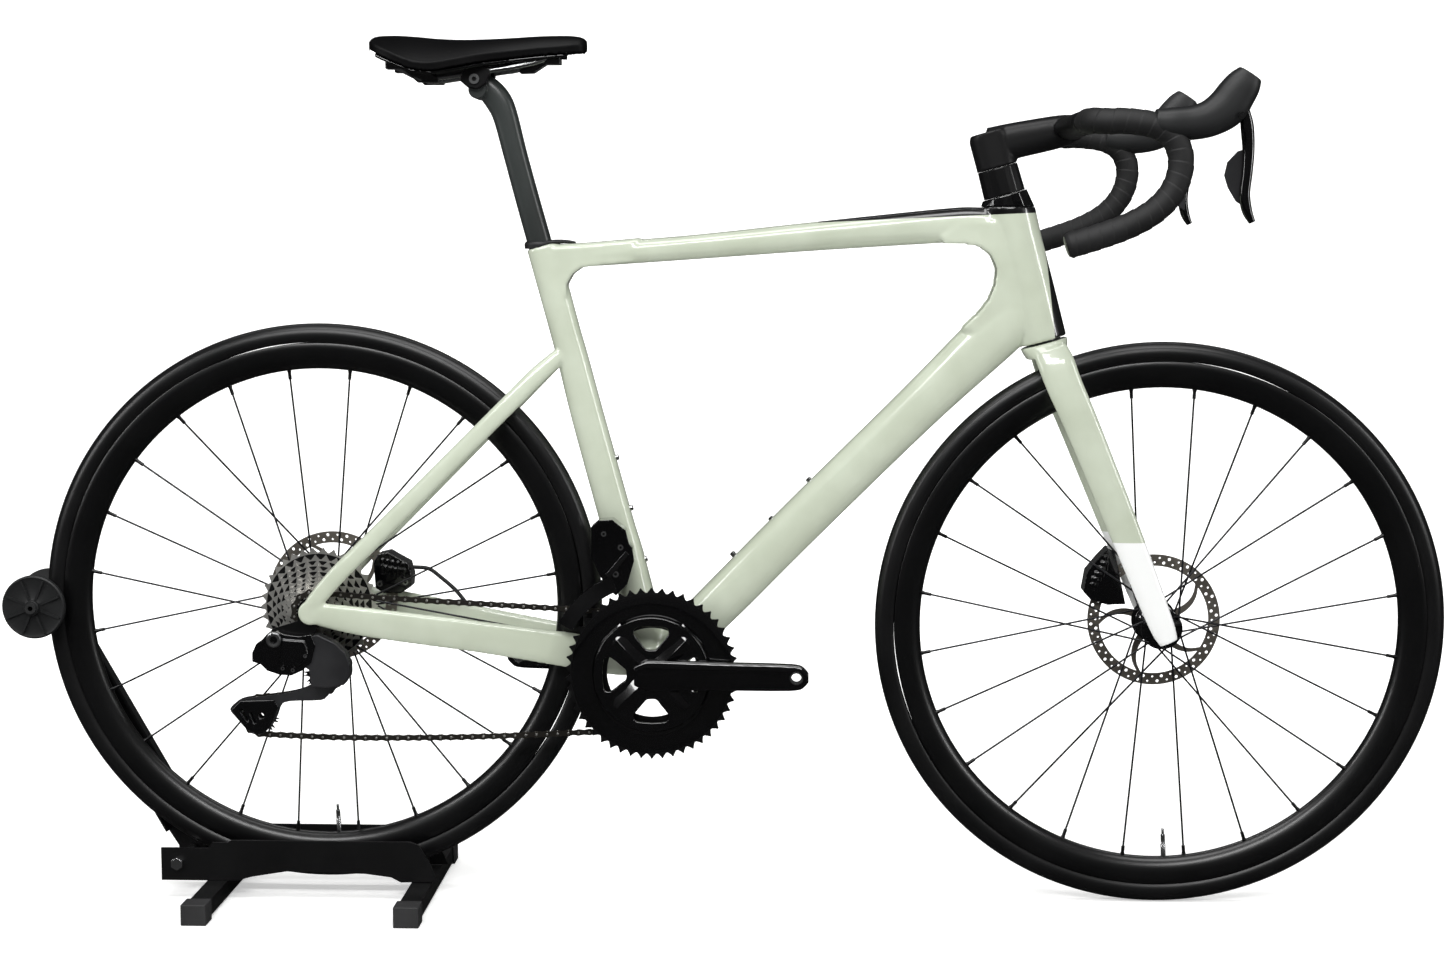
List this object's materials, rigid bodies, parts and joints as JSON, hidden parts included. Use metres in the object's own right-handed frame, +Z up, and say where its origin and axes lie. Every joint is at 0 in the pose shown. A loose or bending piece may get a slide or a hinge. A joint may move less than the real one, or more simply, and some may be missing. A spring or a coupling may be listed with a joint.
{
  "type": "bicycle on stand",
  "caption": "Drop-bar road bicycle with disc brakes and derailleur gears, its rear wheel held upright in a low floor stand with a roller arm.",
  "frame": {"origin": "centre of the bounding box on the floor plane that the stand's feet and the front tyre stand on", "axes": "+X forward along the bicycle, +Y to the rider's left, +Z up; the drive side faces -Y"},
  "size_m": [1.7308, 0.4536, 1.0365],
  "materials": {
    "stand": "black powder-coated steel, satin",
    "cap": "dark grey moulded plastic",
    "steel": "bright machined steel",
    "paint": "pale sage gloss paint over a carbon frame",
    "black": "satin black",
    "gloss": "polished gloss black",
    "rubber": "black moulded rubber",
    "tyre": "black road tyre rubber",
    "tape": "black perforated handlebar tape",
    "carbon": "dark grey satin composite",
    "leather": "black synthetic leather",
    "rim": "satin black composite rim",
    "chain": "dark oiled steel"
  },
  "bodies": {
    "stand": {"stand_channel": "stand", "stand_foot_tube_rear": "stand", "stand_foot_tube_front": "stand", "stand_foot_cap_rear_right": "cap", "stand_foot_cap_rear_left": "cap", "stand_foot_cap_front_right": "cap", "stand_foot_cap_front_left": "cap", "stand_pivot_bolt": "steel"},
    "arm": {"stand_arm": "stand"},
    "roller": {"stand_roller": "rubber"},
    "bicycle": {"frame": "paint", "headset_cover": "black", "headset_bearing_lower": "steel", "seatpost_cover": "rubber", "derailleur_hanger": "black", "rear_axle": "black", "bottom_bracket": "black", "rear_brake_hose": "rubber", "rear_caliper": "black", "front_derailleur_body": "black", "chain": "chain"},
    "steering": {"fork": "paint", "front_axle": "black", "steerer_spacer": "black", "cockpit": "black", "front_caliper": "black", "bar_tape_right": "tape", "bar_tape_left": "tape", "hood_right": "rubber", "hood_left": "rubber"},
    "lever_right": {"brake_lever_right": "gloss"},
    "lever_left": {"brake_lever_left": "gloss"},
    "paddle_right": {"shift_paddle_right": "black"},
    "paddle_left": {"shift_paddle_left": "black"},
    "seatpost": {"seatpost": "carbon"},
    "saddle_clamp": {"saddle_clamp": "black"},
    "saddle": {"saddle_rails": "steel", "saddle_shell": "black", "saddle_pad": "leather"},
    "front_wheel": {"front_tyre": "tyre", "front_rim": "rim", "front_spokes": "steel", "front_hub": "black", "front_rotor": "steel"},
    "rear_wheel": {"rear_tyre": "tyre", "rear_rim": "rim", "rear_spokes": "steel", "rear_hub": "black", "rear_rotor": "steel"},
    "cranks": {"crank_right": "gloss", "crank_left": "gloss", "chainring_outer": "black", "chainring_inner": "black"},
    "cassette": {"cassette": "steel"},
    "front_cage": {"front_derailleur_cage": "steel"},
    "rear_derailleur": {"rear_derailleur_body": "black"},
    "rear_link": {"rear_derailleur_link": "black"},
    "rear_cage": {"rear_derailleur_cage": "black"},
    "guide": {"guide_pulley": "black"},
    "tension": {"tension_pulley": "black"}
  },
  "joints": [
    {"name": "arm_fold", "type": "hinge", "parent": "stand", "child": "arm", "pos_m": [-0.65787, 0, 0.044], "axis": [0, -1, 0], "range_deg": [0, 55], "stiffness_Nm_per_rad": 8, "springref_deg": -34.38},
    {"name": "roller_spin", "type": "hinge", "parent": "arm", "child": "roller", "pos_m": [-0.82688, 0, 0.357], "axis": [0, 1, 0], "continuous": true},
    {"name": "bike_lift", "type": "slide", "parent": "stand", "child": "bicycle", "axis": [0, 0, 1], "range_m": [0, 0.12]},
    {"name": "steering_turn", "type": "hinge", "parent": "bicycle", "child": "steering", "pos_m": [0.38412, 0, 0.679], "axis": [-0.2689, 0, 0.9632], "range_deg": [-55, 55]},
    {"name": "front_wheel_spin", "type": "hinge", "parent": "steering", "child": "front_wheel", "pos_m": [0.52638, 0, 0.339], "axis": [0, 1, 0], "continuous": true},
    {"name": "rear_wheel_spin", "type": "hinge", "parent": "bicycle", "child": "rear_wheel", "pos_m": [-0.48087, 0, 0.3593], "axis": [0, 1, 0], "continuous": true},
    {"name": "crank_spin", "type": "hinge", "parent": "bicycle", "child": "cranks", "pos_m": [-0.07888, 0, 0.284], "axis": [0, 1, 0], "continuous": true},
    {"name": "cassette_spin", "type": "hinge", "parent": "bicycle", "child": "cassette", "pos_m": [-0.48087, 0, 0.3593], "axis": [0, 1, 0], "continuous": true},
    {"name": "front_cage_swing", "type": "hinge", "parent": "bicycle", "child": "front_cage", "pos_m": [-0.12887, -0.044, 0.412], "axis": [-1, 0, 0], "range_deg": [0, 5], "stiffness_Nm_per_rad": 2, "springref_deg": -11.46},
    {"name": "rear_derailleur_swing", "type": "hinge", "parent": "bicycle", "child": "rear_derailleur", "pos_m": [-0.52087, -0.085, 0.33], "axis": [0, 1, 0], "range_deg": [0, 12], "stiffness_Nm_per_rad": 6, "springref_deg": -17.19, "deforming": ["chain"]},
    {"name": "rear_link_shift", "type": "slide", "parent": "rear_derailleur", "child": "rear_link", "axis": [0, 0.62, -0.7846], "range_m": [0, 0.024], "stiffness_N_per_m": 400, "springref_m": -0.03, "deforming": ["chain"]},
    {"name": "rear_cage_swing", "type": "hinge", "parent": "rear_link", "child": "rear_cage", "pos_m": [-0.45288, -0.07, 0.289], "axis": [0, -1, 0], "range_deg": [0, 40], "stiffness_Nm_per_rad": 0.8, "springref_deg": -45.84, "deforming": ["chain"]},
    {"name": "guide_spin", "type": "hinge", "parent": "rear_cage", "child": "guide", "pos_m": [-0.47087, -0.0645, 0.284], "axis": [0, 1, 0], "continuous": true},
    {"name": "tension_spin", "type": "hinge", "parent": "rear_cage", "child": "tension", "pos_m": [-0.54487, -0.0645, 0.233], "axis": [0, 1, 0], "continuous": true},
    {"name": "seatpost_height", "type": "slide", "parent": "bicycle", "child": "seatpost", "axis": [-0.2588, 0, 0.9659], "range_m": [-0.03, 0.05]},
    {"name": "saddle_tilt", "type": "hinge", "parent": "seatpost", "child": "saddle_clamp", "pos_m": [-0.28387, 0, 0.973], "axis": [0, 1, 0], "range_deg": [-8, 8]},
    {"name": "saddle_setback", "type": "slide", "parent": "saddle_clamp", "child": "saddle", "axis": [0.9903, 0, 0.1392], "range_m": [-0.012, 0.012]},
    {"name": "brake_lever_pull_right", "type": "hinge", "parent": "steering", "child": "lever_right", "pos_m": [0.57612, -0.204, 0.927], "axis": [0, 1, 0], "range_deg": [0, 18], "stiffness_Nm_per_rad": 2, "springref_deg": -20.05},
    {"name": "shift_paddle_push_right", "type": "hinge", "parent": "lever_right", "child": "paddle_right", "pos_m": [0.58013, -0.196, 0.866], "axis": [0, 0, -1], "range_deg": [0, 6], "stiffness_Nm_per_rad": 0.3, "springref_deg": -11.46},
    {"name": "brake_lever_pull_left", "type": "hinge", "parent": "steering", "child": "lever_left", "pos_m": [0.57612, 0.204, 0.927], "axis": [0, 1, 0], "range_deg": [0, 18], "stiffness_Nm_per_rad": 2, "springref_deg": -20.05},
    {"name": "shift_paddle_push_left", "type": "hinge", "parent": "lever_left", "child": "paddle_left", "pos_m": [0.58013, 0.196, 0.866], "axis": [0, 0, 1], "range_deg": [0, 6], "stiffness_Nm_per_rad": 0.3, "springref_deg": -11.46}
  ],
  "couplings": [
    {"joint": "cassette_spin", "follows": "crank_spin", "ratio": 3.0909},
    {"joint": "guide_spin", "follows": "crank_spin", "ratio": -3.0909},
    {"joint": "tension_spin", "follows": "crank_spin", "ratio": 3.0909}
  ]
}
